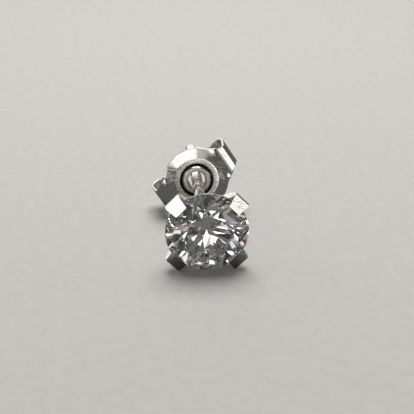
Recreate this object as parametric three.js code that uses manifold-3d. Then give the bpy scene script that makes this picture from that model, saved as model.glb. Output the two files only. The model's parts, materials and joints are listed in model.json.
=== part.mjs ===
// Stud earring lying on a flat surface: a round brilliant stone in a four-prong basket
// setting with a soldered post, and a butterfly friction back pushed along the post.
// Millimetres, +Z up, the stone faces -Y and the post points along +Y.
import * as THREE from 'three';
import { ConvexGeometry } from 'three/addons/geometries/ConvexGeometry.js';
import { mergeVertices } from 'three/addons/utils/BufferGeometryUtils.js';
import Module from 'manifold-3d';

// Driving dimensions of the stone
const GIRDLE_RADIUS = 3.25;
const GIRDLE_THICKNESS = 0.2;
const GIRDLE_SIDES = 64;
const TABLE_RATIO = 0.57;
const CROWN_ANGLE_DEG = 34.5;
const PAVILION_ANGLE_DEG = 41;
const STAR_LENGTH_RATIO = 0.5;
const LOWER_HALF_RATIO = 0.77;
const MAIN_FACETS = 8;

// Driving dimensions of the setting
const SEAT_SCALE = 1.02;
const PRONG_COUNT = 4;
const FIRST_PRONG_DEG = 45;
const PRONG_THICKNESS = 0.6;
const PRONG_HALF_WIDTH = 0.765;
const PRONG_NOSE_HALF_WIDTH = 0.55;
const PRONG_OUTER_RADIUS = 3.84;
const PRONG_NOSE_RADIUS = 2.76;
const STRAP_FOOT = { r: 0.7, z: -3.35 };
const STRAP_KNEE = { r: PRONG_OUTER_RADIUS - PRONG_THICKNESS / 2, z: -0.3, fillet: 0.4 };
const STRAP_SHOULDER = { r: STRAP_KNEE.r, z: 0.08 };
const STRAP_NOSE = { r: PRONG_NOSE_RADIUS, z: 0.39 };
const GALLERY_DEPTH = 1.9;
const GALLERY_WIRE_RADIUS = 0.28;
const BASE_BACK_DEPTH = 3.75;
const BASE_FRONT_DEPTH = 3.05;
const BASE_RADIUS = 1.5;
const BASE_CHAMFER = 0.2;
const POST_RADIUS = 0.45;
const POST_LENGTH = 13.8;
const POST_NOTCH_FROM_TIP = 1.6;
const POST_NOTCH_ROWS = [
  { along: -0.25, depth: 0 },
  { along: -0.12, depth: 0.08 },
  { along: 0.12, depth: 0.08 },
  { along: 0.25, depth: 0 },
];

// Driving dimensions of the friction back
const SHEET = 0.18;
const BACK_DISTANCE = 10.1;
const BACK_LEAN_DEG = 12;
const WING_AXIS_DEG = 33;

// Middle of the plate's sheet, from its rim in to the post hole: radius, height over the
// flat ring round the dip, and the radius of the bend
const PLATE_ROWS = [
  { r: 2.74, z: -0.2 },
  { r: 1.85, z: 0, fillet: 0.5 },
  { r: 1.46, z: 0, fillet: 0.1 },
  { r: 1.38, z: -0.38, fillet: 0.1 },
  { r: 1.14, z: -0.38, fillet: 0.1 },
  { r: 1.08, z: 0.17, fillet: 0.1 },
  { r: 0.86, z: 0.17, fillet: 0.1 },
  { r: 0.86, z: -0.55 },
];

// Middle of a wing's sheet, from its root on the plate round to the end that stands along
// the post: the same columns, and half of the strip's width
const WING_ROWS = [
  { r: 1.95, z: -0.03, half: 1.6 },
  { r: 3.36, z: -0.33, half: 1.12, fillet: 1.2 },
  { r: 3.78, z: -3.7, half: 1.25, fillet: 0.9 },
  { r: 1.0, z: -3.3, half: 0.95, fillet: 0.3 },
  { r: 0.8, z: -1.6, half: 0.7 },
];

// How the stud lies by itself, on two prongs and the friction back
const REST_PITCH_DEG = -1.57;

// Fineness of round shapes
const FILLET_STEPS = 4;
const DISH_SIDES = 48;
const BASE_SIDES = 32;
const POST_SIDES = 24;
const WIRE_SIDES = 8;
const TIP_STEPS = 5;
const MERGE_DISTANCE = 1e-5;

const wasm = await Module();
wasm.setup();

// Closed three.js geometry to a solid that can be joined and cut
function toSolid(geometry) {
  const bare = geometry.clone();
  bare.deleteAttribute('normal');
  bare.deleteAttribute('uv');
  const merged = mergeVertices(bare, MERGE_DISTANCE);
  const index = merged.index.array;
  const triangles = [];
  for (let i = 0; i < index.length; i += 3) {
    const [a, b, c] = index.slice(i, i + 3);
    const hasArea = a !== b && b !== c && c !== a;
    if (hasArea) triangles.push(a, b, c);
  }
  return new wasm.Manifold(new wasm.Mesh({
    numProp: 3,
    vertProperties: new Float32Array(merged.attributes.position.array),
    triVerts: new Uint32Array(triangles),
  }));
}

function toGeometry(solid) {
  const mesh = solid.getMesh();
  const geometry = new THREE.BufferGeometry();
  geometry.setAttribute('position', new THREE.BufferAttribute(mesh.vertProperties, 3));
  geometry.setIndex(new THREE.BufferAttribute(mesh.triVerts, 1));
  geometry.computeVertexNormals();
  return geometry;
}

// A radius-and-depth profile turned about the stud's axis, which is Z
function turned(profile, sides) {
  return new THREE.LatheGeometry(profile, sides).rotateX(Math.PI / 2);
}

// Corner rows { r, z, fillet } of a bent sheet, as a line whose corners are rounded by arcs
function roundedLine(rows) {
  const corners = rows.map((row) => new THREE.Vector2(row.r, row.z));
  const line = [];
  rows.forEach(({ fillet }, i) => {
    if (!fillet) {
      line.push(corners[i]);
      return;
    }
    const back = corners[i - 1].clone().sub(corners[i]).normalize();
    const ahead = corners[i + 1].clone().sub(corners[i]).normalize();
    const halfAngle = back.angleTo(ahead) / 2;
    const toCentre = back.clone().add(ahead).setLength(fillet / Math.sin(halfAngle));
    const centre = corners[i].clone().add(toCentre);
    const first = back.multiplyScalar(fillet / Math.tan(halfAngle)).sub(toCentre);
    const last = ahead.multiplyScalar(fillet / Math.tan(halfAngle)).sub(toCentre);
    const sweep = Math.atan2(first.cross(last), first.dot(last));
    for (let step = 0; step <= FILLET_STEPS; step += 1) {
      const turn = sweep * step / FILLET_STEPS;
      line.push(first.clone().rotateAround(new THREE.Vector2(), turn).add(centre));
    }
  });
  return line;
}

// Sideways step of one unit of sheet thickness at each point of a line, mitred at its bends
function mitredNormals(line) {
  return line.map((point, i) => {
    const before = line[Math.max(i - 1, 0)];
    const after = line[Math.min(i + 1, line.length - 1)];
    const arriving = (i > 0 ? point.clone().sub(before) : after.clone().sub(point)).normalize();
    const leaving = (i < line.length - 1 ? after.clone().sub(point) : arriving.clone()).normalize();
    const tangent = arriving.clone().add(leaving).normalize();
    const mitre = 1 / tangent.dot(arriving);
    return new THREE.Vector2(-tangent.y, tangent.x).multiplyScalar(mitre);
  });
}

// Closed outline of a sheet that follows a line
function sheetOutline(line, thickness) {
  const normals = mitredNormals(line);
  const side = (half) => line.map((point, i) => point.clone().addScaledVector(normals[i], half));
  return [...side(-thickness / 2), ...side(thickness / 2).reverse()];
}

// Round brilliant: main facets every 45 degrees, half facets between them run out at a
// scalloped girdle, and star facets lead up to an eight-sided table.
function brilliantPoint(radius, azimuth, z) {
  return new THREE.Vector3(radius * Math.cos(azimuth), radius * Math.sin(azimuth), z);
}

function brilliantGeometry() {
  const mainStep = 2 * Math.PI / MAIN_FACETS;
  const halfFacet = mainStep / 4;
  const girdleHalf = GIRDLE_THICKNESS / 2;
  const tableRadius = TABLE_RATIO * GIRDLE_RADIUS;
  const tableEdge = tableRadius * Math.cos(mainStep / 2);
  const starRadius = tableEdge + STAR_LENGTH_RATIO * (GIRDLE_RADIUS - tableEdge);
  const lowerRadius = (1 - LOWER_HALF_RATIO) * GIRDLE_RADIUS;
  const tiers = [
    { side: 1, angle: CROWN_ANGLE_DEG, junctionRadius: starRadius, topRadius: tableRadius },
    { side: -1, angle: PAVILION_ANGLE_DEG, junctionRadius: lowerRadius, topRadius: 0 },
  ];
  const points = [];
  for (const { side, angle, junctionRadius, topRadius } of tiers) {
    const slope = Math.tan(THREE.MathUtils.degToRad(angle));
    const mainRise = (radius, off) => (GIRDLE_RADIUS - radius * Math.cos(off)) * slope;
    const junctionRise = mainRise(junctionRadius, mainStep / 2);
    const halfSlope = junctionRise / ((GIRDLE_RADIUS - junctionRadius) * Math.cos(halfFacet));
    for (let k = 0; k < MAIN_FACETS; k += 1) {
      const azimuth = k * mainStep;
      points.push(brilliantPoint(topRadius, azimuth, side * (girdleHalf + mainRise(topRadius, 0))));
      const between = azimuth + mainStep / 2;
      points.push(brilliantPoint(junctionRadius, between, side * (girdleHalf + junctionRise)));
    }
    for (let k = 0; k < GIRDLE_SIDES; k += 1) {
      const azimuth = 2 * Math.PI * k / GIRDLE_SIDES;
      const off = azimuth % (2 * halfFacet) - halfFacet;
      const scallop = GIRDLE_RADIUS * (Math.cos(off) - Math.cos(halfFacet)) * halfSlope;
      points.push(brilliantPoint(GIRDLE_RADIUS, azimuth, side * (girdleHalf - scallop)));
    }
  }
  return new ConvexGeometry(points);
}

// One prong: a strap seen from the side that rises from the base, stands past the girdle
// and folds over the crown, cut to a plan that flares from the strap to the shoulder.
function prongSolid() {
  const sideLine = roundedLine([STRAP_FOOT, STRAP_KNEE, STRAP_SHOULDER, STRAP_NOSE]);
  const sideShape = new THREE.Shape(sheetOutline(sideLine, PRONG_THICKNESS));
  const width = 2 * PRONG_HALF_WIDTH;
  const side = new THREE.ExtrudeGeometry(sideShape, { depth: width, bevelEnabled: false });
  side.rotateX(Math.PI / 2).translate(0, width / 2, 0);

  const planRows = [
    { r: 0, half: PRONG_NOSE_HALF_WIDTH },
    { r: PRONG_NOSE_RADIUS, half: PRONG_NOSE_HALF_WIDTH },
    { r: PRONG_OUTER_RADIUS, half: PRONG_HALF_WIDTH },
    { r: 2 * PRONG_OUTER_RADIUS, half: PRONG_HALF_WIDTH },
  ];
  const planShape = new THREE.Shape([
    ...planRows.map(({ r, half }) => new THREE.Vector2(r, -half)),
    ...planRows.map(({ r, half }) => new THREE.Vector2(r, half)).reverse(),
  ]);
  const planDepth = 4 * BASE_BACK_DEPTH;
  const plan = new THREE.ExtrudeGeometry(planShape, { depth: planDepth, bevelEnabled: false });
  plan.translate(0, 0, -planDepth / 2);
  return toSolid(side).intersect(toSolid(plan));
}

// Base that the straps run into, with the flat back that meets the ear lobe
function baseGeometry() {
  const rim = BASE_RADIUS - BASE_CHAMFER;
  return turned([
    new THREE.Vector2(0, -BASE_BACK_DEPTH),
    new THREE.Vector2(rim, -BASE_BACK_DEPTH),
    new THREE.Vector2(BASE_RADIUS, -BASE_BACK_DEPTH + BASE_CHAMFER),
    new THREE.Vector2(BASE_RADIUS, -BASE_FRONT_DEPTH - BASE_CHAMFER),
    new THREE.Vector2(rim, -BASE_FRONT_DEPTH),
    new THREE.Vector2(0, -BASE_FRONT_DEPTH),
  ], BASE_SIDES);
}

// Ring of round wire that ties the four straps together half way down the basket
function galleryGeometry() {
  const strapSlope = (STRAP_KNEE.r - STRAP_FOOT.r) / (STRAP_KNEE.z - STRAP_FOOT.z);
  const ringRadius = STRAP_FOOT.r + (-GALLERY_DEPTH - STRAP_FOOT.z) * strapSlope;
  const ring = new THREE.TorusGeometry(ringRadius, GALLERY_WIRE_RADIUS, WIRE_SIDES, DISH_SIDES);
  return ring.translate(0, 0, -GALLERY_DEPTH);
}

// Post with a round tip and the shallow notch in which a friction back catches
function postGeometry() {
  const root = -BASE_BACK_DEPTH + BASE_CHAMFER;
  const tip = -BASE_BACK_DEPTH - POST_LENGTH;
  const profile = [];
  for (let step = 0; step <= TIP_STEPS; step += 1) {
    const turn = Math.PI / 2 * step / TIP_STEPS;
    const r = POST_RADIUS * Math.sin(turn);
    profile.push(new THREE.Vector2(r, tip + POST_RADIUS * (1 - Math.cos(turn))));
  }
  const notch = tip + POST_NOTCH_FROM_TIP;
  for (const { along, depth } of POST_NOTCH_ROWS) {
    profile.push(new THREE.Vector2(POST_RADIUS - depth, notch + along));
  }
  profile.push(new THREE.Vector2(POST_RADIUS, root), new THREE.Vector2(0, root));
  return turned(profile, POST_SIDES);
}

// Prongs, base, gallery and post are soldered, and the seat is cut by a slightly larger stone
function settingGeometry() {
  let metal = toSolid(baseGeometry()).add(toSolid(galleryGeometry())).add(toSolid(postGeometry()));
  const prong = prongSolid();
  for (let k = 0; k < PRONG_COUNT; k += 1) {
    const azimuthDeg = FIRST_PRONG_DEG + 360 * k / PRONG_COUNT;
    metal = metal.add(prong.rotate([0, 0, azimuthDeg]));
  }
  const seat = brilliantGeometry().scale(SEAT_SCALE, SEAT_SCALE, SEAT_SCALE);
  return toGeometry(metal.subtract(toSolid(seat)));
}

// Plate of the friction back: a low cone, a dip round the middle, and a collar drawn into the post hole
function dishGeometry() {
  const outline = sheetOutline(roundedLine(PLATE_ROWS), SHEET);
  return turned([...outline, outline[0].clone()], DISH_SIDES);
}

// One wing of the friction back: a tapering strip that leaves the plate, rolls back
// and comes in again until its end stands along the post.
function wingGeometry() {
  const line = roundedLine(WING_ROWS);
  const normals = mitredNormals(line);
  const halfWidths = WING_ROWS.flatMap(({ fillet, half }) => {
    const pointsOfRow = fillet ? FILLET_STEPS + 1 : 1;
    return Array(pointsOfRow).fill(half);
  });
  const spans = line.length - 1;
  const strip = new THREE.BoxGeometry(1, 1, 1, spans, 1, 1);
  const position = strip.attributes.position;
  for (let v = 0; v < position.count; v += 1) {
    const station = Math.round((position.getX(v) + 0.5) * spans);
    const point = line[station].clone().addScaledVector(normals[station], position.getZ(v) * SHEET);
    position.setXYZ(v, point.x, 2 * halfWidths[station] * position.getY(v), point.y);
  }
  return strip;
}

// Plate and wings are stamped from one sheet
function frictionBackGeometry() {
  const wing = toSolid(wingGeometry());
  const sheet = toSolid(dishGeometry()).add(wing).add(wing.rotate([0, 0, 180]));
  return toGeometry(sheet.rotate([0, 0, WING_AXIS_DEG]));
}

const stoneMaterial = new THREE.MeshStandardMaterial({ color: 0xe9ecef, roughness: 0.05, metalness: 0 });
const silverMaterial = new THREE.MeshStandardMaterial({ color: 0xd9d8d2, roughness: 0.18, metalness: 1 });
const steelMaterial = new THREE.MeshStandardMaterial({ color: 0xcfcfca, roughness: 0.22, metalness: 1 });

const stone = new THREE.Mesh(brilliantGeometry(), stoneMaterial);
stone.name = 'stone';

const setting = new THREE.Mesh(settingGeometry(), silverMaterial);
setting.name = 'setting';

const frictionBack = new THREE.Mesh(frictionBackGeometry(), steelMaterial);
frictionBack.name = 'friction_back';
frictionBack.position.z = -BACK_DISTANCE;

// The back sits loosely on the post, so its plate leans away at the top
frictionBack.rotation.x = -THREE.MathUtils.degToRad(BACK_LEAN_DEG);

// Before it is laid down, the stone's table faces +Z and the post runs along -Z
const earring = new THREE.Group();
earring.add(stone, setting, frictionBack);
earring.rotation.x = THREE.MathUtils.degToRad(90 - REST_PITCH_DEG);
earring.updateMatrixWorld(true);

// The origin is on the surface that it lies on, under the middle of the earring
const box = new THREE.Box3().setFromObject(earring, true);
const middle = box.getCenter(new THREE.Vector3());
earring.position.set(-middle.x, -middle.y, -box.min.z);
earring.updateMatrixWorld(true);

export default earring;
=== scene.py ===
# %% [markdown]
# # A stud earring with a clear stone
#
# The earring lies on its side. A round brilliant sits in a basket of four prongs, a post is
# soldered behind it, and a butterfly back has been pushed along the post. The solids of the
# frame already have the right places and sizes, so each step here takes its place from them
# and makes the finer form of one piece: a stone with true facets, prongs with soft edges, and
# a back that is stamped and rolled from one sheet.

# %% Load the frame
import json
import math

import bmesh
import bpy
import numpy as np
from mathutils import Matrix, Vector


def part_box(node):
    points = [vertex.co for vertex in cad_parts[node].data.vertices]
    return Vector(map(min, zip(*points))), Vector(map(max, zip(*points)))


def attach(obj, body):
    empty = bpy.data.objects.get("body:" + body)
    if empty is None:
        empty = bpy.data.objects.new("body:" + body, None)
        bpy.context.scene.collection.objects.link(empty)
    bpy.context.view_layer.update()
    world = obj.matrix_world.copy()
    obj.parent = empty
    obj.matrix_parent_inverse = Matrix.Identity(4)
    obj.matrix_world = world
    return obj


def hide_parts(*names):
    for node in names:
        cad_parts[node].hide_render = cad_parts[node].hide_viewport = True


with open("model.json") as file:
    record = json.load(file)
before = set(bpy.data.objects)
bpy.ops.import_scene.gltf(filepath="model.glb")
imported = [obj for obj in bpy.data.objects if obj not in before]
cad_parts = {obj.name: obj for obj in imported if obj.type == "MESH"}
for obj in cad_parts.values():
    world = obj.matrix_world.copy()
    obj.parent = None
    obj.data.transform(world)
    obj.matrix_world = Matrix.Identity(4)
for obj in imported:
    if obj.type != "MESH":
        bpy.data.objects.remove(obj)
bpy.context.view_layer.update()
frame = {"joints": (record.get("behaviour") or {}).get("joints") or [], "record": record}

# %% [markdown]
# ## Where the stud lies
#
# It is easier to shape a jewel upright than lying down. Every piece is made in millimetres,
# with the stone's table facing up and the post running down, and one matrix then lays it in
# its place. The sliding joint says which way the post runs, the flat face in the frame's
# record says where the basket's base is, and the back sits a measured way behind the girdle.
# The hole of the back is wider than the post, so the back leans a little, and it has a matrix
# of its own.

# %% The matrices that lay the stud down
MM = 0.001
BASE_BACK_DEPTH = 3.75
LOBE_POINT_RADIUS = 0.9
BACK_DISTANCE = 10.1
BACK_LEAN_DEG = 12.0

faces = {mount["name"]: Vector(mount["pos_m"]) for mount in frame["record"]["mounts"]}
post_way = Vector(frame["joints"][0]["axis"]).normalized()
table_way = -post_way
across = Vector((1, 0, 0))
upward = table_way.cross(across)
base_point = faces["lobe_face"] - MM * LOBE_POINT_RADIUS * upward
girdle_point = base_point + MM * BASE_BACK_DEPTH * table_way
plate_point = girdle_point + MM * BACK_DISTANCE * post_way

turn = Matrix((across, upward, table_way)).transposed().to_4x4()
lay_stud = Matrix.Translation(girdle_point) @ turn @ Matrix.Scale(MM, 4)
lean = Matrix.Rotation(math.radians(-BACK_LEAN_DEG), 4, "X")
lay_back = Matrix.Translation(plate_point) @ turn @ Matrix.Scale(MM, 4) @ lean
plate_way = (lay_back.to_3x3() @ Vector((0, 0, 1))).normalized()
print("girdle at", [round(x / MM, 3) for x in girdle_point], "mm")

# %% [markdown]
# ## Nodes from Python
#
# Materials and Geometry Nodes are both trees of nodes, so one small pair of classes serves
# both. A `Bench` adds a node, first its settings and then its sockets. A `Signal` is one
# socket, and sums or products of signals add Math nodes by themselves. The nodes could be
# added one by one, but an expression is easier to read and to change.


# %% Two classes for node trees
class Signal:
    """One output socket. Sums, differences, products and quotients add Math nodes."""

    def __init__(self, bench, socket):
        self.bench = bench
        self.socket = socket

    def other(self, name):
        """Another output of the same node."""
        return Signal(self.bench, self.socket.node.outputs[name])

    def math(self, operation, *values):
        return self.bench.node("ShaderNodeMath", {"operation": operation}, dict(enumerate(values)))

    def __add__(self, value):
        return self.math("ADD", self, value)

    def __sub__(self, value):
        return self.math("SUBTRACT", self, value)

    def __rsub__(self, value):
        return self.math("SUBTRACT", value, self)

    def __mul__(self, value):
        return self.math("MULTIPLY", self, value)

    def __truediv__(self, value):
        return self.math("DIVIDE", self, value)

    def __rtruediv__(self, value):
        return self.math("DIVIDE", value, self)

    def __abs__(self):
        return self.math("ABSOLUTE", self)

    __radd__ = __add__
    __rmul__ = __mul__

    def ease(self, low, high):
        """0 below low, 1 above high, and a smooth step between them."""
        settings = {"interpolation_type": "SMOOTHSTEP"}
        return self.bench.node("ShaderNodeMapRange", settings, {0: self, 1: low, 2: high})


class Bench:
    """Adds nodes to one tree."""

    def __init__(self, tree):
        self.tree = tree

    def node(self, kind, settings=None, sockets=None, out=0):
        made = self.tree.nodes.new(kind)
        for name, value in (settings or {}).items():
            setattr(made, name, value)
        for key, value in (sockets or {}).items():
            if isinstance(value, Signal):
                self.tree.links.new(value.socket, made.inputs[key])
            else:
                made.inputs[key].default_value = value
        return Signal(self, made.outputs[out]) if made.outputs else made

    def mix(self, share, first, second):
        """One colour where share is 0 and another where it is 1."""
        sockets = {0: share, 6: first, 7: second}
        return self.node("ShaderNodeMix", {"data_type": "RGBA"}, sockets, out=2)


print("node helpers ready")

# %% [markdown]
# ## From a worked mesh to a finished piece
#
# A piece is shaped upright in millimetres, with modifiers for bevels and walls, because
# thousandths of a metre are too near to some tools' smallest distance. When it is done the
# modifiers are turned into a plain mesh, the mesh is laid in its place, and the piece is tied
# to the body that it moves with.


# %% Helpers that finish a piece
def blank(name, bm):
    """A work piece from a bmesh, in millimetres."""
    mesh = bpy.data.meshes.new(name)
    bm.to_mesh(mesh)
    bm.free()
    work = bpy.data.objects.new(name, mesh)
    bpy.context.scene.collection.objects.link(work)
    return work


def add_modifier(work, kind, **settings):
    modifier = work.modifiers.new(kind.lower(), kind)
    for name, value in settings.items():
        setattr(modifier, name, value)


def settle(work):
    """Turns a work piece's modifiers into its plain mesh."""
    seen = work.evaluated_get(bpy.context.evaluated_depsgraph_get())
    mesh = bpy.data.meshes.new_from_object(seen)
    work.modifiers.clear()
    work.data = mesh


def soften(work, smooth_below_deg):
    """Smooth shading, except at edges that turn by more than the angle."""
    work.data.shade_smooth()
    work.data.set_sharp_from_angle(angle=math.radians(smooth_below_deg))


def finish_piece(work, place, body, node, smooth_below_deg):
    """Lays a settled piece in its place, ties it to its body, and hides the frame node it stands for."""
    work.data.transform(place)
    soften(work, smooth_below_deg)
    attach(work, body)
    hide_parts(node)
    triangles = sum(len(polygon.vertices) - 2 for polygon in work.data.polygons)
    print(work.name, "has", triangles, "triangles")


print("finishing helpers ready")

# %% [markdown]
# ## Bent lines
#
# The strap of a prong, the turned post and the rolled sheet are all drawn as a side view: a
# few corners, each with the radius of its bend. Drawing every point of an arc by hand would
# be slow to change, so one helper puts an arc in each corner that has a radius.


# %% A line with rounded corners
def rounded_line(rows, steps):
    """Corner rows of (radius, height, fillet) as a line whose corners are arcs."""
    corners = [Vector(row[:2]) for row in rows]
    line = []
    for i, (_, _, fillet) in enumerate(rows):
        if not fillet:
            line.append(corners[i])
            continue
        back = (corners[i - 1] - corners[i]).normalized()
        ahead = (corners[i + 1] - corners[i]).normalized()
        half = back.angle(ahead) / 2
        to_centre = (back + ahead).normalized() * fillet / math.sin(half)
        first = back * fillet / math.tan(half) - to_centre
        last = ahead * fillet / math.tan(half) - to_centre
        sweep = -first.angle_signed(last)
        for step in range(steps + 1):
            arm = Matrix.Rotation(sweep * step / steps, 2) @ first
            line.append(corners[i] + to_centre + arm)
    return line


print("line helper ready")

# %% [markdown]
# ## Patterns in millimetres
#
# A material that reads Object coordinates keeps its pattern when the piece moves. They come
# in metres and a jewel is only thousandths of one, so the pattern is scaled to millimetres
# first, and noises and scratches can then be given the sizes that one would measure. A
# scratch could be drawn, but a stretched noise has many of them already: each is a narrow
# place where the noise crosses its middle value.

# %% Helpers for materials
MM_PER_M = 1000.0
NOISE_MIDDLE = 0.5
SCRATCH_ALONG = 0.35
SCRATCH_ACROSS = 6.0
SCRATCH_EDGES = (0.004, 0.02)


def new_material(name):
    material = bpy.data.materials.new(name)
    material.use_nodes = True
    bench = Bench(material.node_tree)
    shader = material.node_tree.nodes["Principled BSDF"]
    return material, bench, shader


def feed(bench, shader, **values):
    """Sets or links the shader's sockets; Base_Color stands for Base Color."""
    for key, value in values.items():
        socket = shader.inputs[key.replace("_", " ")]
        if isinstance(value, Signal):
            bench.tree.links.new(value.socket, socket)
        else:
            socket.default_value = value


def millimetres(bench):
    """The surface point in millimetres."""
    spot = bench.node("ShaderNodeTexCoord", out="Object")
    sockets = {"Vector": spot, "Scale": MM_PER_M}
    return bench.node("ShaderNodeVectorMath", {"operation": "SCALE"}, sockets)


def noise(bench, spot, scale, detail=2.0):
    sockets = {"Vector": spot, "Scale": scale, "Detail": detail}
    return bench.node("ShaderNodeTexNoise", None, sockets)


def hairlines(bench, spot, turn_deg, spacing):
    """1 on thin scratches that run along a turned axis, and 0 between them."""
    turned_by = tuple(math.radians(angle) for angle in turn_deg)
    stretch = (SCRATCH_ALONG / spacing, SCRATCH_ACROSS / spacing, SCRATCH_ACROSS / spacing)
    sockets = {"Vector": spot, "Rotation": turned_by, "Scale": stretch}
    laid = bench.node("ShaderNodeMapping", None, sockets)
    away = abs(noise(bench, laid, scale=1.0, detail=1.0) - NOISE_MIDDLE)
    return 1 - away.ease(*SCRATCH_EDGES)


print("material helpers ready")

# %% [markdown]
# ## Satin rings and painted shade in the dip
#
# The back does not shine the same all over. The press leaves a satin bloom on its collar and
# on the flat ring outside the dip, and the dip is painted near black: painted shade of the groove.
# Weights could be painted on the mesh, but all three are rings round the collar's middle
# line, so the distance from that line is enough: the length of a cross product with the
# line's direction.

# %% Rings round the collar
COLLAR_END = (1.08, 1.15)
DIP_START = (1.15, 1.22)
DIP_END = (1.36, 1.44)
RING_START = (1.40, 1.46)
RING_END = (1.84, 1.92)
COLLAR_SATIN = 0.28
RING_SATIN = 0.12
# painted shade: a near-black colour for the dip round the collar, standing in for the groove's shadow
DIP_PAINTED_SHADE = (0.05, 0.045, 0.04, 1)
DIP_SHADE_SHARE = 0.85


def post_distance(bench, spot):
    """Distance in millimetres from the middle line of the back's collar."""
    middle = tuple(plate_point / MM)
    arm = bench.node("ShaderNodeVectorMath", {"operation": "SUBTRACT"}, {0: spot, 1: middle})
    sides = {0: arm, 1: tuple(plate_way)}
    across_line = bench.node("ShaderNodeVectorMath", {"operation": "CROSS_PRODUCT"}, sides)
    return bench.node("ShaderNodeVectorMath", {"operation": "LENGTH"}, {0: across_line}, out="Value")


def satin_and_shade_rings(bench, spot):
    """How much a point belongs to the collar, to the dip and to the flat ring."""
    radius = post_distance(bench, spot)
    in_collar = 1 - radius.ease(*COLLAR_END)
    in_dip = radius.ease(*DIP_START) * (1 - radius.ease(*DIP_END))
    on_ring = radius.ease(*RING_START) * (1 - radius.ease(*RING_END))
    return in_collar, in_dip, on_ring


print("the satin ring is", round(RING_END[0] - RING_START[1], 2), "mm wide")

# %% [markdown]
# ## The finish of the metal
#
# Polished silver is nearly a mirror. What makes it look real is what spoils the mirror: slow
# waves left by the polishing wheel, hairline scratches, and a little grey in patches. A
# picture of worn metal could give all three, but noise has no seams and needs no file. The
# waves and scratches go into Bump nodes, the scratches also blur the shine, and the grey goes
# into the colour. The stamped sheet of the back gets the same treatment with stronger waves,
# because a press leaves the sheet less even than a wheel does. Its cut edge is a third metal,
# dull and even, as shears leave it.

# %% Three metals
SCRATCH_SETS = [
    # turn in degrees, spacing in millimetres
    ((20, 35, 10), 1.6),
    ((70, -25, 60), 2.3),
]
SCRATCH_BLUR = 0.10
SCRATCH_DEPTH = 0.002
SCRATCH_STRENGTH = 0.35
FINE_SCALE = 9.0
FINE_DETAIL = 4.0
FINE_BLUR = 0.06
FINE_HEIGHT = 0.04
GREY_SCALE = 0.9
GREY_DETAIL = 3.0
GREY_EDGES = (0.5, 0.8)
GREY_SHARE = 0.6
GREY_BLUR = 0.05


def polished_metal(name, bright, dull, shine, wave_height, wave_scale, pressed_with_dip_shade=False):
    """A bright metal: shine is its least roughness, and wave_height is in millimetres."""
    material, bench, shader = new_material(name)
    spot = millimetres(bench)
    slow = noise(bench, spot, wave_scale)
    fine = noise(bench, spot, FINE_SCALE, FINE_DETAIL)
    first_set, second_set = [hairlines(bench, spot, *lines) for lines in SCRATCH_SETS]
    scratches = first_set + second_set
    grey = noise(bench, spot, GREY_SCALE, GREY_DETAIL).ease(*GREY_EDGES)
    colour = bench.mix(grey * GREY_SHARE, bright, dull)
    roughness = shine + FINE_BLUR * fine * slow + SCRATCH_BLUR * scratches + GREY_BLUR * grey
    if pressed_with_dip_shade:
        in_collar, in_dip, on_ring = satin_and_shade_rings(bench, spot)
        # painted shade: the dip's colour is darkened towards near black, standing in for the groove's
        # shadow
        colour = bench.mix(in_dip * DIP_SHADE_SHARE, colour, DIP_PAINTED_SHADE)
        roughness = roughness + RING_SATIN * on_ring + COLLAR_SATIN * in_collar
    waves = {"Strength": 1.0, "Distance": wave_height * MM, "Height": slow + FINE_HEIGHT * fine}
    wavy = bench.node("ShaderNodeBump", None, waves)
    lines = {"Strength": SCRATCH_STRENGTH, "Distance": SCRATCH_DEPTH * MM, "Height": 1 - scratches}
    normal = bench.node("ShaderNodeBump", None, {**lines, "Normal": wavy})
    feed(bench, shader, Base_Color=colour, Metallic=1.0, Roughness=roughness, Normal=normal)
    return material


silver = polished_metal(
    "polished_silver", bright=(0.93, 0.91, 0.87, 1), dull=(0.70, 0.68, 0.64, 1),
    shine=0.06, wave_height=0.005, wave_scale=0.8,
)
sheet_metal = polished_metal(
    "stamped_sheet", bright=(0.90, 0.88, 0.84, 1), dull=(0.62, 0.60, 0.57, 1),
    shine=0.08, wave_height=0.007, wave_scale=0.7, pressed_with_dip_shade=True,
)
cut_edge = polished_metal(
    "cut_edge", bright=(0.92, 0.90, 0.86, 1), dull=(0.78, 0.76, 0.72, 1),
    shine=0.36, wave_height=0.003, wave_scale=2.0,
)
print("metals:", silver.name, sheet_metal.name, cut_edge.name)

# %% [markdown]
# ## The stone
#
# A cutter starts from a round blank and grinds one flat after another. The corners could be
# worked out and joined into faces, but planes are simpler: a round rod is cut by eight main
# facets, sixteen halves and eight stars on the crown, and by eight mains and sixteen halves
# on the pavilion. `bisect_plane` throws away what is outside a plane and the cut is closed
# with one face, so every facet is truly flat, and the waves along the girdle come out by
# themselves.

# %% Grind one facet, or one tier of them
GIRDLE_RADIUS = (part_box("stone")[1].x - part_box("stone")[0].x) / 2 / MM
GIRDLE_THICKNESS = 0.2
MAINS = 8
MAIN_STEP = 2 * math.pi / MAINS


def cut_facet(bm, azimuth, distance, height, slope, side):
    """Grinds one facet: height falls by slope for each millimetre outwards from distance."""
    out = Vector((math.cos(azimuth), math.sin(azimuth), 0))
    point = out * distance + Vector((0, 0, side * height))
    normal = (out * slope + Vector((0, 0, side))).normalized()
    everything = bm.verts[:] + bm.edges[:] + bm.faces[:]
    plane = {"plane_co": point, "plane_no": normal}
    cut = bmesh.ops.bisect_plane(bm, geom=everything, clear_outer=True, **plane)
    edges = [part for part in cut["geom_cut"] if isinstance(part, bmesh.types.BMEdge)]
    if len(edges) > 2:
        bmesh.ops.contextual_create(bm, geom=edges)


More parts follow.
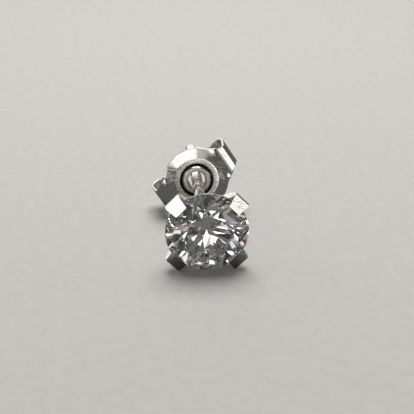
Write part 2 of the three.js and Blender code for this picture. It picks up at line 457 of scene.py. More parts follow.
def cut_tier(bm, side, angle_deg, junction_radius):
    """The mains and halves of the crown (side 1) or the pavilion (side -1)."""
    half = MAIN_STEP / 4
    edge = GIRDLE_THICKNESS / 2
    slope = math.tan(math.radians(angle_deg))
    rise = (GIRDLE_RADIUS - junction_radius * math.cos(MAIN_STEP / 2)) * slope
    half_slope = rise / ((GIRDLE_RADIUS - junction_radius) * math.cos(half))
    for k in range(MAINS):
        cut_facet(bm, k * MAIN_STEP, GIRDLE_RADIUS, edge, slope, side)
    for k in range(2 * MAINS):
        cut_facet(bm, (2 * k + 1) * half, GIRDLE_RADIUS * math.cos(half), edge, half_slope, side)
    return edge + rise


print("the girdle is", round(2 * GIRDLE_RADIUS, 2), "mm across")

# %% Cut the brilliant
GIRDLE_SIDES = 128
ROD_LENGTH = 4 * GIRDLE_RADIUS
TABLE_RATIO = 0.57
CROWN_DEG = 34.5
PAVILION_DEG = 41.0
STAR_RATIO = 0.5
LOWER_HALF_RATIO = 0.77
WELD = 0.004
GIRDLE_NORMAL_Z = 0.1


def brilliant():
    bm = bmesh.new()
    rod = {"radius1": GIRDLE_RADIUS, "radius2": GIRDLE_RADIUS, "depth": ROD_LENGTH}
    bmesh.ops.create_cone(bm, cap_ends=True, segments=GIRDLE_SIDES, **rod)
    table_radius = TABLE_RATIO * GIRDLE_RADIUS
    table_edge = table_radius * math.cos(MAIN_STEP / 2)
    star_radius = table_edge + STAR_RATIO * (GIRDLE_RADIUS - table_edge)
    crown_height = (GIRDLE_RADIUS - table_radius) * math.tan(math.radians(CROWN_DEG))
    table_height = GIRDLE_THICKNESS / 2 + crown_height
    star_height = cut_tier(bm, 1, CROWN_DEG, star_radius)
    cut_tier(bm, -1, PAVILION_DEG, (1 - LOWER_HALF_RATIO) * GIRDLE_RADIUS)
    star_slope = (table_height - star_height) / (star_radius - table_edge)
    for k in range(MAINS):
        cut_facet(bm, (k + 0.5) * MAIN_STEP, table_edge, table_height, star_slope, 1)
    cut_facet(bm, 0, 0, table_height, 0, 1)
    bmesh.ops.remove_doubles(bm, verts=bm.verts[:], dist=WELD)
    bmesh.ops.dissolve_degenerate(bm, dist=WELD, edges=bm.edges[:])
    bmesh.ops.recalc_face_normals(bm, faces=bm.faces[:])
    return bm


stone = blank("stone_brilliant", brilliant())
facets = [polygon for polygon in stone.data.polygons if abs(polygon.normal.z) > GIRDLE_NORMAL_Z]
print("facets cut:", len(facets))

# %% [markdown]
# ## The finish of the stone
#
# A clear stone is glass with a high refractive index: light that enters through the crown is
# thrown back by the pavilion. The girdle is ground and left frosted. A real stone also splits
# light into colours, which this shader can't do. So each facet carries a number of its own,
# and the number gives it a breath of warm, rosy or bluish colour. The shading stays flat, with
# a hard edge between facets.

# %% Stone material
STONE_INDEX = 2.42
GOLDEN_RATIO = 0.618034
FACET_CLEAR = (0.97, 0.98, 1.0, 1)
FACET_WARM = (1.0, 0.95, 0.86, 1)
FACET_ROSY = (1.0, 0.90, 0.92, 1)
FACET_BLUISH = (0.88, 0.93, 1.0, 1)
WARM_EDGES = (0.55, 0.75)
ROSY_EDGES = (0.80, 0.90)
BLUISH_EDGES = (0.10, 0.20)
FROST_ROUGHNESS = 0.25
POLISH_ROUGHNESS = 0.004
POLISH_SCALE = 6.0
FLAT_FACETS_DEG = 0.1

numbers = stone.data.attributes.new("facet_number", "FLOAT", "FACE")
frost = stone.data.attributes.new("frosted", "FLOAT", "FACE")
for polygon in stone.data.polygons:
    numbers.data[polygon.index].value = (polygon.index * GOLDEN_RATIO) % 1
    frost.data[polygon.index].value = float(abs(polygon.normal.z) < GIRDLE_NORMAL_Z)


def clear_stone(name):
    material, bench, shader = new_material(name)
    number = bench.node("ShaderNodeAttribute", {"attribute_name": "facet_number"}, out="Fac")
    frosted = bench.node("ShaderNodeAttribute", {"attribute_name": "frosted"}, out="Fac")
    warm = bench.mix(number.ease(*WARM_EDGES), FACET_CLEAR, FACET_WARM)
    rosy = bench.mix(number.ease(*ROSY_EDGES), warm, FACET_ROSY)
    fire = bench.mix(1 - number.ease(*BLUISH_EDGES), rosy, FACET_BLUISH)
    polish = noise(bench, millimetres(bench), POLISH_SCALE)
    roughness = FROST_ROUGHNESS * frosted + POLISH_ROUGHNESS * polish
    feed(bench, shader, Base_Color=fire, Roughness=roughness)
    feed(bench, shader, IOR=STONE_INDEX, Transmission_Weight=1.0)
    return material


stone.data.materials.append(clear_stone("clear_stone"))
seat_cutter = blank("seat_cutter", brilliant())
finish_piece(stone, lay_stud, "stud", "stone", FLAT_FACETS_DEG)

# %% [markdown]
# ## Copies round an axis
#
# Four prongs stand round the stone, and the back is the same half twice. Both are one shape
# turned round the post's axis, which is a short Geometry Nodes tree: as many points as
# copies, one instance on each, turned by its index. Realize Instances makes real faces of
# them, and Merge by Distance sews the halves together where they meet. An Array modifier
# could do the turning too, but would need an extra object to turn by.


# %% Helpers for Geometry Nodes trees
def new_tree(name, inputs):
    """A geometry tree with named inputs, and a bench and signals to build it with."""
    tree = bpy.data.node_groups.new(name, "GeometryNodeTree")
    for label, kind in inputs.items():
        tree.interface.new_socket(label, in_out="INPUT", socket_type=kind)
    tree.interface.new_socket("Geometry", in_out="OUTPUT", socket_type="NodeSocketGeometry")
    bench = Bench(tree)
    return tree, bench, bench.node("NodeGroupInput")


def close_tree(bench, geometry, finish):
    """Ends a tree in real faces with their material."""
    real = bench.node("GeometryNodeRealizeInstances", None, {"Geometry": geometry})
    dressed = bench.node("GeometryNodeSetMaterial", None, {"Geometry": real, "Material": finish})
    bench.node("NodeGroupOutput", None, {"Geometry": dressed})


def use_tree(work, tree, **values):
    """Puts a work piece through a tree; First_Angle stands for the input First Angle."""
    modifier = work.modifiers.new(tree.name, "NODES")
    modifier.node_group = tree
    inputs = [item for item in tree.interface.items_tree if item.in_out == "INPUT"]
    sockets = {item.name: item.identifier for item in inputs}
    for label, value in values.items():
        modifier[sockets[label.replace("_", " ")]] = value
    settle(work)


print("tree helpers ready")


# %% The tree for copies round an axis
def copies_tree():
    kinds = {
        "Geometry": "NodeSocketGeometry", "Copies": "NodeSocketInt", "First Angle": "NodeSocketFloat",
        "Weld": "NodeSocketFloat", "Finish": "NodeSocketMaterial",
    }
    tree, bench, shape = new_tree("copies_round_axis", kinds)
    points = bench.node("GeometryNodePoints", None, {"Count": shape.other("Copies")})
    index = bench.node("GeometryNodeInputIndex")
    angle = shape.other("First Angle") + index * (2 * math.pi) / shape.other("Copies")
    euler = bench.node("ShaderNodeCombineXYZ", None, {"Z": angle})
    rotation = bench.node("FunctionNodeEulerToRotation", None, {"Euler": euler})
    sockets = {"Points": points, "Instance": shape.other("Geometry"), "Rotation": rotation}
    copies = bench.node("GeometryNodeInstanceOnPoints", None, sockets)
    real = bench.node("GeometryNodeRealizeInstances", None, {"Geometry": copies})
    seam = {"Geometry": real, "Distance": shape.other("Weld")}
    sewn = bench.node("GeometryNodeMergeByDistance", None, seam)
    close_tree(bench, sewn, shape.other("Finish"))
    return tree


round_axis = copies_tree()
print("tree:", round_axis.name, "with", len(round_axis.nodes), "nodes")

# %% [markdown]
# ## The prongs
#
# A prong is a flat strap: it rises from the base, stands up past the girdle, and its end is
# pushed over the crown. It could be a bent box, but a strip of rings along a bent line keeps
# its thickness at the bends and can be wide at the shoulder and narrow at the foot and the
# nose. A copy of the stone, a hair larger, cuts the seat, which also thins the nose, and a
# Bevel modifier breaks the edges. Weighted normals keep the broad faces flat in the mirror:
# without them the smooth bevels would make every face look pillowed.

# %% A strap along a bent line
PRONG_THICKNESS = 0.6
PRONG_OUTER_RADIUS = 3.84
SHOULDER_RADIUS = PRONG_OUTER_RADIUS - PRONG_THICKNESS / 2
KNEE_HEIGHT = -0.3
FOOT_RADIUS = 0.7
FOOT_HEIGHT = -3.35
NOSE_RADIUS = 2.76
PRONG_ROWS = [
    # radius, height, fillet
    (FOOT_RADIUS, FOOT_HEIGHT, 0),
    (SHOULDER_RADIUS, KNEE_HEIGHT, 0.4),
    (SHOULDER_RADIUS, 0.08, 0),
    (NOSE_RADIUS, 0.39, 0),
]
STRAP_STEPS = 8
STRAP_CORNERS = [(1, -1), (1, 1), (-1, 1), (-1, -1)]


def mitres(line):
    """Sideways steps from a line of points that keep a strip's thickness at its corners."""
    ways = np.diff(np.array(line), axis=0)
    ways /= np.linalg.norm(ways, axis=1)[:, None]
    sides = np.column_stack((-ways[:, 1], ways[:, 0]))
    before = np.vstack((sides[:1], sides))
    after = np.vstack((sides, sides[-1:]))
    return (before + after) / (1 + np.sum(before * after, axis=1))[:, None]


def strap(line, thickness, half_widths):
    """A closed strip that follows a line of (radius, height), one ring of four corners a point."""
    bm = bmesh.new()
    rings = []
    for point, mitre, half in zip(line, mitres(line), half_widths):
        side = mitre * thickness / 2
        spots = [(point[0] + a * side[0], b * half, point[1] + a * side[1]) for a, b in STRAP_CORNERS]
        rings.append([bm.verts.new(spot) for spot in spots])
    for first, second in zip(rings, rings[1:]):
        for k in range(len(STRAP_CORNERS)):
            bm.faces.new((first[k], first[k - 1], second[k - 1], second[k]))
    bm.faces.new(rings[0])
    bm.faces.new(rings[-1][::-1])
    bmesh.ops.recalc_face_normals(bm, faces=bm.faces[:])
    return bm


prong_line = rounded_line(PRONG_ROWS, STRAP_STEPS)
print("a prong's line has", len(prong_line), "points")

# %% Seat, soften and copy the prongs
PRONG_COPIES = 4
FIRST_PRONG_DEG = 45
PLAN_RADII = [NOSE_RADIUS, PRONG_OUTER_RADIUS]
PLAN_HALF_WIDTHS = [0.55, 0.765]
SEAT_SCALE = 1.006
PRONG_EDGE = 0.14
PRONG_EDGE_STEPS = 4
PRONG_EDGE_DEG = 50
PRONG_SMOOTH_DEG = 40

prong_radii = [point[0] for point in prong_line]
prong_halves = np.interp(prong_radii, PLAN_RADII, PLAN_HALF_WIDTHS)
prongs = blank("prongs", strap(prong_line, PRONG_THICKNESS, prong_halves))
seat_cutter.scale = (SEAT_SCALE,) * 3
add_modifier(prongs, "BOOLEAN", operation="DIFFERENCE", solver="EXACT", object=seat_cutter)
prong_bevel = {"width": PRONG_EDGE, "segments": PRONG_EDGE_STEPS}
add_modifier(prongs, "BEVEL", limit_method="ANGLE", angle_limit=math.radians(PRONG_EDGE_DEG), **prong_bevel)
settle(prongs)
soften(prongs, PRONG_SMOOTH_DEG)
add_modifier(prongs, "WEIGHTED_NORMAL", keep_sharp=True)
settle(prongs)
first_prong = math.radians(FIRST_PRONG_DEG)
use_tree(prongs, round_axis, Copies=PRONG_COPIES, First_Angle=first_prong, Weld=0.0, Finish=silver)
bpy.data.objects.remove(seat_cutter)
finish_piece(prongs, lay_stud, "stud", "setting", PRONG_SMOOTH_DEG)

# %% [markdown]
# ## The gallery wire
#
# A ring of round wire ties the straps together half way down the basket. A torus would do,
# but a circle swept along a circle is what Curve to Mesh does, so this is a tree of its own
# with the ring's radius, the wire's radius and the depth below the girdle as its inputs.

# %% A ring of wire
GALLERY_DEPTH = 1.9
WIRE_RADIUS = 0.28
RING_POINTS = 96
WIRE_POINTS = 20
WIRE_SMOOTH_DEG = 60


def wire_ring_tree():
    kinds = {
        "Geometry": "NodeSocketGeometry", "Ring Radius": "NodeSocketFloat",
        "Wire Radius": "NodeSocketFloat", "Depth": "NodeSocketFloat", "Finish": "NodeSocketMaterial",
    }
    tree, bench, shape = new_tree("wire_ring", kinds)
    circle = "GeometryNodeCurvePrimitiveCircle"
    ring = bench.node(circle, None, {"Resolution": RING_POINTS, "Radius": shape.other("Ring Radius")})
    round_wire = {"Resolution": WIRE_POINTS, "Radius": shape.other("Wire Radius")}
    section = bench.node(circle, None, round_wire)
    wire = bench.node("GeometryNodeCurveToMesh", None, {"Curve": ring, "Profile Curve": section})
    drop = bench.node("ShaderNodeCombineXYZ", None, {"Z": 0 - shape.other("Depth")})
    placed = bench.node("GeometryNodeTransform", None, {"Geometry": wire, "Translation": drop})
    close_tree(bench, placed, shape.other("Finish"))
    return tree


strap_slope = (SHOULDER_RADIUS - FOOT_RADIUS) / (KNEE_HEIGHT - FOOT_HEIGHT)
ring_radius = FOOT_RADIUS + (-GALLERY_DEPTH - FOOT_HEIGHT) * strap_slope
gallery = blank("gallery_wire", bmesh.new())
sizes = {"Ring_Radius": ring_radius, "Wire_Radius": WIRE_RADIUS, "Depth": GALLERY_DEPTH}
use_tree(gallery, wire_ring_tree(), **sizes, Finish=silver)
finish_piece(gallery, lay_stud, "stud", "setting", WIRE_SMOOTH_DEG)

# %% [markdown]
# ## The base and the post
#
# The straps run into a small round base, and the post is soldered into its back. Both are
# turned shapes, so one profile of radius and depth is enough: a broken edge, a small fillet
# of solder where the post starts, a shallow notch for the back to catch in, and a round tip.
# A Screw modifier could turn the profile, but leaves a seam and open poles to close. A loop
# of rings that ends in one point at each pole is closed from the start.

# %% The profile of the base and the post
BASE_FRONT_DEPTH = 3.05
BASE_RADIUS = 1.5
EDGE_ROUND = 0.2
POST_RADIUS = 0.45
POST_LENGTH = 13.8
SOLDER_RADIUS = 0.22
NOTCH_FROM_TIP = 1.6
NOTCH_DEPTH = 0.08
NOTCH_HALF = 0.26
ARC_STEPS = 8


def post_profile():
    back = -BASE_BACK_DEPTH
    front = -BASE_FRONT_DEPTH
    tip = back - POST_LENGTH
    rows = [
        (0, front, 0),
        (BASE_RADIUS, front, EDGE_ROUND),
        (BASE_RADIUS, back, EDGE_ROUND),
        (POST_RADIUS, back, SOLDER_RADIUS),
        (POST_RADIUS, tip + NOTCH_FROM_TIP + 2 * NOTCH_HALF, 0),
    ]
    profile = [(point[0], point[1]) for point in rounded_line(rows, ARC_STEPS)]
    for step in range(-ARC_STEPS, ARC_STEPS + 1):
        share = step / ARC_STEPS
        depth = NOTCH_DEPTH * math.cos(share * math.pi / 2) ** 2
        profile.append((POST_RADIUS - depth, tip + NOTCH_FROM_TIP - share * NOTCH_HALF))
    for step in range(ARC_STEPS + 1):
        bend = math.pi / 2 * step / ARC_STEPS
        profile.append((POST_RADIUS * math.cos(bend), tip + POST_RADIUS * (1 - math.sin(bend))))
    return profile


print("the profile has", len(post_profile()), "points")

# %% Turn the base and the post
TURNED_SIDES = 64
POST_SMOOTH_DEG = 40


def turned(profile, sides):
    """Turns a profile of (radius, height) that starts and ends on the axis."""
    bm = bmesh.new()
    poles = [bm.verts.new((0, 0, profile[0][1])), bm.verts.new((0, 0, profile[-1][1]))]
    turns = [2 * math.pi * k / sides for k in range(sides)]
    rings = []
    for r, z in profile[1:-1]:
        rings.append([bm.verts.new((r * math.cos(a), r * math.sin(a), z)) for a in turns])
    for k in range(sides):
        bm.faces.new((poles[0], rings[0][k], rings[0][k - 1]))
        bm.faces.new((poles[1], rings[-1][k - 1], rings[-1][k]))
        for first, second in zip(rings, rings[1:]):
            bm.faces.new((first[k - 1], first[k], second[k], second[k - 1]))
    bmesh.ops.recalc_face_normals(bm, faces=bm.faces[:])
    return bm


post = blank("base_and_post", turned(post_profile(), TURNED_SIDES))
post.data.materials.append(silver)
finish_piece(post, lay_stud, "stud", "setting", POST_SMOOTH_DEG)

# %% [markdown]
# ## The butterfly back: two lines
#
# A butterfly back is one stamped sheet: a round plate with a hole, drawn into a collar, and
# two wings that are rolled back until their ends press on the post. It is drawn as two lines
# through the middle of the sheet. One is the plate from its hole outwards: the collar, a dip,
# a flat ring and a low cone. The other is the wing, from the plate round to its end. The
# length along the rolled line says where each point of the flat wing comes to lie.

# %% Sizes of the sheet
PLATE_RADIUS = 2.74
WING_ROOT = 2.1
WING_ROOT_END = 2.9
INNER_MARGIN = 0.1
PLATE_ROWS = [
    # radius, height, fillet
    (0.85, -0.55, 0),
    (0.85, 0.17, 0.1),
    (1.11, 0.17, 0.1),
    (1.2, -0.38, 0.1),
    (1.5, 0.0, 0.1),
    (1.87, 0.0, 0.4),
    (PLATE_RADIUS, -0.2, 0),
]
WING_ROWS = [
    # radius, height, fillet
    (1.7, 0.02, 0),
    (3.36, -0.33, 1.2),
    (3.78, -3.7, 0.9),
    (1.0, -3.3, 0.3),
    (0.8, -1.6, 0),
]
ROLL_STEPS = 12

dish = np.array([tuple(point) for point in rounded_line(PLATE_ROWS, ARC_STEPS)])
inner_section = [point for point in dish if point[0] < WING_ROOT - INNER_MARGIN]
outer_section = dish[-2 * ARC_STEPS:]
roll = np.array([tuple(point) for point in rounded_line(WING_ROWS, ROLL_STEPS)])
roll_steps = np.linalg.norm(np.diff(roll, axis=0), axis=1)
roll_length = WING_ROWS[0][0] + np.concatenate(([0], np.cumsum(roll_steps)))
print("a wing is", round(roll_length[-1] - WING_ROOT, 2), "mm long from the plate")

# %% [markdown]
# ## The butterfly back: forming the sheet
#
# The sheet could be bent by Simple Deform modifiers, but a press forms plate and wing at
# once, and the two have to meet without a step. So a plain function says where a point of
# the flat blank goes: near the root it follows the plate, further out it follows the roll,
# and between them it eases from one to the other. A smooth curve through five half widths
# gives the wing its waist and its narrow end.

# %% Where a point of the blank goes
ROOT_HALF = math.sqrt(PLATE_RADIUS**2 - WING_ROOT**2)
CORNER_HALVES = [1.12, 1.25, 0.95]
END_HALF = 0.7


def length_to(row):
    """Distance along the rolled line to the place nearest to a corner row."""
    return roll_length[np.argmin(np.linalg.norm(roll - np.array(WING_ROWS[row][:2]), axis=1))]


def smooth_through(x, xs, ys):
    """A smooth curve through points, for the outline of the wing."""
    slopes = np.gradient(ys, xs)
    i = int(np.clip(np.searchsorted(xs, x) - 1, 0, len(xs) - 2))
    span = xs[i + 1] - xs[i]
    t = (x - xs[i]) / span
    start = (2 * t**3 - 3 * t**2 + 1) * ys[i] + (t**3 - 2 * t**2 + t) * span * slopes[i]
    end = (3 * t**2 - 2 * t**3) * ys[i + 1] + (t**3 - t**2) * span * slopes[i + 1]
    return start + end


def ease(x, low, high):
    t = min(max((x - low) / (high - low), 0), 1)
    return t * t * (3 - 2 * t)


def plate_height(radius):
    """Height of the plate outside the dip."""
    return np.interp(radius, outer_section[:, 0], outer_section[:, 1])


def formed(length, side):
    """A point of the flat blank after the plate is pressed and the wings are rolled."""
    radius = np.interp(length, roll_length, roll[:, 0])
    rolled = np.interp(length, roll_length, roll[:, 1])
    share = ease(length, WING_ROOT, WING_ROOT_END)
    return radius, side, plate_height(math.hypot(radius, side)) * (1 - share) + rolled * share


wing_lengths = np.array([WING_ROOT, length_to(1), length_to(2), length_to(3), roll_length[-1]])
wing_halves = np.array([ROOT_HALF, *CORNER_HALVES, END_HALF])
print("half widths of the wing:", [round(float(half), 2) for half in wing_halves])

# %% [markdown]
# ## The butterfly back: the blank
#
# Half of the flat blank is laid out as columns of points that leave the hole like spokes. In
# the plate they end at the rim, and in the wing they run on to its end. The grid of faces
# between neighbouring columns follows the bends, so the roll and the collar stay smooth. The
# tree for copies makes the other half, Solidify gives the sheet its thickness, with the cut
# metal on its rim, and Bevel breaks the edge.

# %% Spokes from the hole to the rim and the wing's end
PLATE_SPOKES = 18
WING_SPOKES = 28
RADIAL_STEPS = 8
WING_STEP = 0.09


def spoke(angle, is_wing):
    """The points of one column, from the hole outwards."""
    outer = WING_ROOT / math.cos(angle) if is_wing else PLATE_RADIUS
    steps = np.arange(1, RADIAL_STEPS + 1) / RADIAL_STEPS
    start = inner_section[-1][0]
    outside = [(r, plate_height(r)) for r in start + (outer - start) * steps]
    points = [(r * math.cos(angle), r * math.sin(angle), z) for r, z in [*inner_section, *outside]]
    if is_wing:
        share = WING_ROOT * math.tan(angle) / ROOT_HALF
        count = round((roll_length[-1] - WING_ROOT) / WING_STEP)
        for length in np.linspace(WING_ROOT, roll_length[-1], count + 1)[1:]:
            points.append(formed(length, share * smooth_through(length, wing_lengths, wing_halves)))
    return points


def half_back():
    wing_angle = math.acos(WING_ROOT / PLATE_RADIUS)
    plate = np.linspace(wing_angle, math.pi / 2, PLATE_SPOKES + 1)[1:]
    wing = np.linspace(-wing_angle, wing_angle, WING_SPOKES + 1)
    columns = [spoke(-a, False) for a in plate[::-1]]
    columns += [spoke(a, True) for a in wing]
    columns += [spoke(a, False) for a in plate]
    bm = bmesh.new()
    grid = [[bm.verts.new(point) for point in column] for column in columns]
    for left, right in zip(grid, grid[1:]):
        for k in range(min(len(left), len(right)) - 1):
            bm.faces.new((left[k], left[k + 1], right[k + 1], right[k]))
    bmesh.ops.recalc_face_normals(bm, faces=bm.faces[:])
    return bm


back = blank("butterfly_back", half_back())
print("half of the blank has", len(back.data.polygons), "faces")

# %% Copy, thicken and finish the back
BACK_COPIES = 2
WING_AXIS_DEG = 33
SEAM_WELD = 0.001
SHEET = 0.18
SHEET_EDGE = 0.035
SHEET_EDGE_STEPS = 2
SHEET_EDGE_DEG = 60
BACK_SMOOTH_DEG = 50

wing_axis = math.radians(WING_AXIS_DEG)
use_tree(back, round_axis, Copies=BACK_COPIES, First_Angle=wing_axis, Weld=SEAM_WELD, Finish=sheet_metal)
back.data.materials.append(cut_edge)
add_modifier(back, "SOLIDIFY", thickness=SHEET, offset=0, use_even_offset=True, material_offset_rim=1)
sheet_bevel = {"width": SHEET_EDGE, "segments": SHEET_EDGE_STEPS}
add_modifier(back, "BEVEL", limit_method="ANGLE", angle_limit=math.radians(SHEET_EDGE_DEG), **sheet_bevel)
settle(back)
finish_piece(back, lay_back, "back", "friction_back", BACK_SMOOTH_DEG)

# %% [markdown]
# ## The floor
#
# The floor is a plain pale sheet, one square face with a faint grain. Seen in bright metal and
# through a clear stone, a pale floor takes away their contrast. A smaller floor would help,
# but its edge would show. So a Light Path node gives each its own colour: the camera sees the
# pale one, and the metal and the stone see darker ones.

# %% A pale floor
FLOOR_HALF = 0.35
FLOOR_PALE = (0.56, 0.56, 0.55, 1)
FLOOR_PALER = (0.60, 0.595, 0.585, 1)
FLOOR_IN_METAL = (0.10, 0.10, 0.10, 1)
FLOOR_IN_STONE = (0.17, 0.17, 0.167, 1)
FLOOR_ROUGHNESS = 0.7
GRAIN_SCALE = 1.2
GRAIN_DETAIL = 4.0
GRAIN_EDGES = (0.3, 0.7)


def pale_floor(name):
    material, bench, shader = new_material(name)
    grain = noise(bench, millimetres(bench), GRAIN_SCALE, GRAIN_DETAIL)
    pale = bench.mix(grain.ease(*GRAIN_EDGES), FLOOR_PALE, FLOOR_PALER)
    mirrored = bench.node("ShaderNodeLightPath", out="Is Glossy Ray")
    through_stone = mirrored.other("Is Transmission Ray")
    in_jewel = bench.mix(through_stone, FLOOR_IN_METAL, FLOOR_IN_STONE)
    colour = bench.mix(mirrored, pale, in_jewel)
    feed(bench, shader, Base_Color=colour, Roughness=FLOOR_ROUGHNESS, Specular_IOR_Level=0.0)
    return material


floor_mesh = bmesh.new()
bmesh.ops.create_grid(floor_mesh, x_segments=1, y_segments=1, size=FLOOR_HALF)
floor = blank("floor", floor_mesh)
floor.data.materials.append(pale_floor("pale_floor"))
print("floor is", 2 * FLOOR_HALF, "m wide")

# %% [markdown]
# ## The panels
#
# Bright metal shows what is round it, so a jewel is lit by soft panels with dark room between
# them: the panels make the white shapes, and the gaps make the dark ones. One big light or a
# picture of a studio would be quicker, but most panels here stand where one face of the metal
# mirrors them, and that is how the plate gets an ivory upper side beside a dark one, and the
# upper prongs turn white. The top and back panels also light the floor. All are hidden from
# the camera, and from rays through the stone, which gets a room of its own.


# %% A panel that faces the stud
def panel_way(azimuth_deg, elevation_deg):
    """The way to a light. Azimuth 0 is the camera's side, and positive goes to the right."""
    azimuth = math.radians(azimuth_deg)
    elevation = math.radians(elevation_deg)
    level = math.cos(elevation)
    return Vector((math.sin(azimuth) * level, -math.cos(azimuth) * level, math.sin(elevation)))


def softbox(name, power, width, height, azimuth_deg, elevation_deg, distance, colour):
    """A rectangle of light: power in watts, sizes and distance in metres."""
    light = bpy.data.lights.new(name, "AREA")
    light.shape = "RECTANGLE"
    light.size = width
    light.size_y = height
    light.energy = power
    light.color = colour
    way = panel_way(azimuth_deg, elevation_deg)
    panel = bpy.data.objects.new(name, light)
    panel.location = way * distance
    panel.rotation_euler = way.to_track_quat("Z", "Y").to_euler()
    panel.visible_camera = False
    panel.visible_transmission = False
    bpy.context.scene.collection.objects.link(panel)


print("panel helper ready")

# %% Twelve panels
IVORY = (1.0, 0.97, 0.90)
CREAM = (1.0, 0.97, 0.91)
PEARL = (1.0, 0.98, 0.93)
OFF_WHITE = (1.0, 0.98, 0.95)
WHITE = (1, 1, 1)
PANELS = [
    # name, power, width, height, azimuth, elevation, distance, colour
    ("front_left_panel", 0.055, 0.14, 0.10, -12, 25, 0.25, IVORY),
    ("front_right_panel", 0.006, 0.04, 0.13, 12, 25, 0.25, OFF_WHITE),
    ("front_low_panel", 0.028, 0.066, 0.036, 5, 3.5, 0.15, CREAM),
    ("left_prong_panel", 0.021, 0.07, 0.055, -33, 5.5, 0.25, PEARL),
    ("right_prong_panel", 0.007, 0.052, 0.04, 38, 5, 0.25, PEARL),
    ("wing_panel", 0.004, 0.06, 0.07, 58, 18, 0.25, OFF_WHITE),
    ("right_panel", 0.052, 0.15, 0.09, 104, 15, 0.25, OFF_WHITE),
    ("top_panel", 0.48, 0.16, 0.16, 170, 72, 0.22, OFF_WHITE),
    ("left_panel", 0.06, 0.13, 0.12, -108, 32, 0.25, WHITE),
    ("right_lip_panel", 0.010, 0.06, 0.03, 76, 25, 0.25, PEARL),
    ("left_lip_panel", 0.014, 0.06, 0.05, -67, 28, 0.25, PEARL),
    ("back_panel", 0.26, 0.40, 0.22, 180, 20, 0.30, CREAM),
]

for row in PANELS:
    softbox(*row)
bpy.context.scene.view_settings.view_transform = "Standard"
print("panels:", len(PANELS), "with", round(sum(row[1] for row in PANELS), 3), "W in all")

# %% [markdown]
# ## The room that the stone throws back
#
# A brilliant sparkles because each facet picks out another small spot of the room. An even
# room makes a dull grey stone, so what the stone sees is a dark room of bright cells. They are
# brightest towards the front, because most of the light that a brilliant sends to the viewer
# came in from there. The cells are a Voronoi texture on the world, and a Light Path node
# shows them only to rays that have been through the stone. The metal mirrors a dim fill
# instead. Light bounces many times inside a stone before it leaves, so Cycles gets more
# bounces than usual.

# %% Values of the room
STONE_BOUNCES = 24
ROOM_CELLS = 10.0
ROOM_SHIFT = (10.7, 13.5, 18.6)
ROOM_GAIN = 2.8
ROOM_DARK = 0.03
ROOM_FILL = 0.09
CELL_EDGES = (0.42, 0.85)
CELL_WHITE = (1.0, 1.0, 1.0, 1)
CELL_WARM = (1.0, 0.91, 0.74, 1)
CELL_ROSY = (1.0, 0.84, 0.86, 1)
CELL_BLUISH = (0.80, 0.89, 1.0, 1)
CELL_WARM_EDGES = (0.80, 0.82)
CELL_ROSY_EDGES = (0.90, 0.92)
CELL_BLUISH_EDGES = (0.12, 0.14)
SIDE_SHARE = 0.12
FRONT_AZIMUTH_DEG = 3
FRONT_ELEVATION_DEG = 9
FRONT_INNER_DEG = 16
FRONT_OUTER_DEG = 36

front = tuple(panel_way(FRONT_AZIMUTH_DEG, FRONT_ELEVATION_DEG))
front_inner = math.cos(math.radians(FRONT_INNER_DEG))
front_outer = math.cos(math.radians(FRONT_OUTER_DEG))
print("the bright part of the room is towards", [round(x, 2) for x in front])


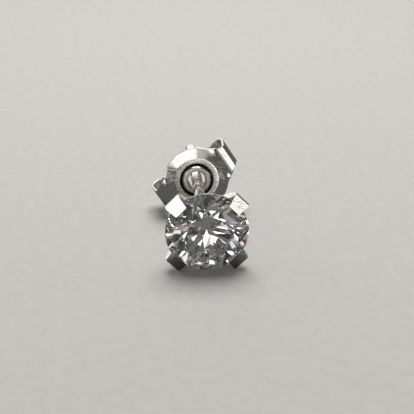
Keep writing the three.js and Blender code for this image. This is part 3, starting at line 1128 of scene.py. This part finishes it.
# %% Build the room
def sparkling_room(name):
    """A dark room of bright cells for the stone, and a dim fill for the metal."""
    world = bpy.data.worlds.new(name)
    world.use_nodes = True
    bench = Bench(world.node_tree)
    way = bench.node("ShaderNodeTexCoord", out="Generated")
    laid = bench.node("ShaderNodeMapping", None, {"Vector": way, "Location": ROOM_SHIFT})
    sockets = {"Vector": laid, "Scale": ROOM_CELLS}
    cells = bench.node("ShaderNodeTexVoronoi", None, sockets, out="Color")
    lot = bench.node("ShaderNodeSeparateColor", None, {"Color": cells}, out="Red")
    hue = lot.other("Green")
    warm = bench.mix(hue.ease(*CELL_WARM_EDGES), CELL_WHITE, CELL_WARM)
    rosy = bench.mix(hue.ease(*CELL_ROSY_EDGES), warm, CELL_ROSY)
    fire = bench.mix(1 - hue.ease(*CELL_BLUISH_EDGES), rosy, CELL_BLUISH)
    dot_product = {"operation": "DOT_PRODUCT"}
    nearness = bench.node("ShaderNodeVectorMath", dot_product, {0: way, 1: front}, out="Value")
    share = SIDE_SHARE + (1 - SIDE_SHARE) * nearness.ease(front_outer, front_inner)
    sparkle = ROOM_DARK + ROOM_GAIN * share * lot.ease(*CELL_EDGES)
    through_stone = bench.node("ShaderNodeLightPath", out="Is Transmission Ray")
    shine = through_stone * sparkle + (1 - through_stone) * ROOM_FILL
    feed(bench, world.node_tree.nodes["Background"], Color=fire, Strength=shine)
    return world


room = sparkling_room("sparkling_room")
bpy.context.scene.world = room
room.cycles_visibility.camera = False
room.cycles_visibility.diffuse = False
cycles = bpy.context.scene.cycles
cycles.max_bounces = STONE_BOUNCES
cycles.glossy_bounces = STONE_BOUNCES
cycles.transmission_bounces = STONE_BOUNCES
print("room:", room.name, "with", cycles.max_bounces, "bounces")

# %% [markdown]
# ## The camera
#
# The camera looks down at the stone from the front, a little from the left. A short lens close
# by would make the stone look too big for the back behind it, so the lens is long. The camera is
# placed from the girdle, and aimed a little above it, so that the stud sits where it should
# in the picture.

# %% Place the camera
VIEW_SIDE_DEG = 5.0
VIEW_DOWN_DEG = 24.6
AIM_UP_DEG = 1.23
VIEW_DISTANCE = 0.090
LENS = 101.0
CLIP_START = 0.001


def view_way(down_deg):
    side = math.radians(VIEW_SIDE_DEG)
    down = math.radians(down_deg)
    level = math.cos(down)
    return Vector((math.sin(side) * level, math.cos(side) * level, -math.sin(down)))


camera_data = bpy.data.cameras.new("camera")
camera_data.lens = LENS
camera_data.clip_start = CLIP_START
camera = bpy.data.objects.new("camera", camera_data)
camera.location = girdle_point - VIEW_DISTANCE * view_way(VIEW_DOWN_DEG)
camera.rotation_euler = view_way(VIEW_DOWN_DEG - AIM_UP_DEG).to_track_quat("-Z", "Y").to_euler()
bpy.context.scene.collection.objects.link(camera)
bpy.context.scene.camera = camera
print("camera at", [round(x / MM, 1) for x in camera.location], "mm")
